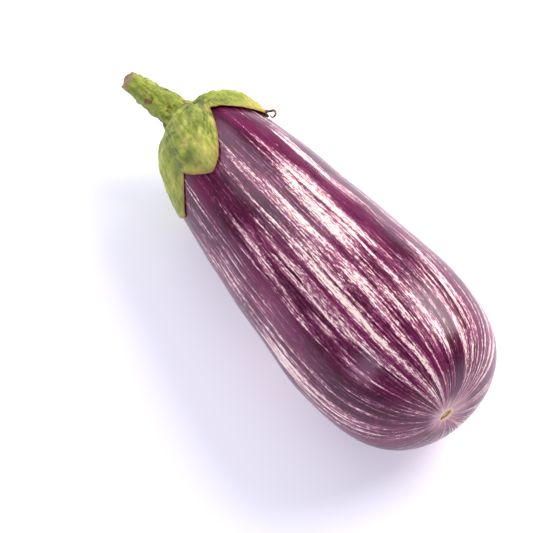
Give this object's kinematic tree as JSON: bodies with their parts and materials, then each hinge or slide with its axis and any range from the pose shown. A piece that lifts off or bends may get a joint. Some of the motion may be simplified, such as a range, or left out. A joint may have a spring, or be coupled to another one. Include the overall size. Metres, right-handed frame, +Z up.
{
  "type": "eggplant",
  "caption": "Striped eggplant lying on its side, with a lobed green calyx and a short bent stem, resting on a small flat spot.",
  "frame": {"origin": "on the surface that the eggplant lies on, under the middle of its bounding box", "axes": "+X towards the blossom end and -X towards the stem, along the eggplant's length; +Z up; +Y makes the frame right-handed"},
  "size_m": [0.2268, 0.082, 0.0828],
  "materials": {
    "skin": "glossy waxy skin, deep purple with cream-white lengthwise streaks",
    "calyx": "satin yellow-green sepals with darker green mottling",
    "stem": "satin ribbed green stem with brown corky scars and a tan cut end"
  },
  "bodies": {
    "root": {"fruit": "skin", "calyx": "calyx", "stem": "stem"}
  },
  "joints": []
}
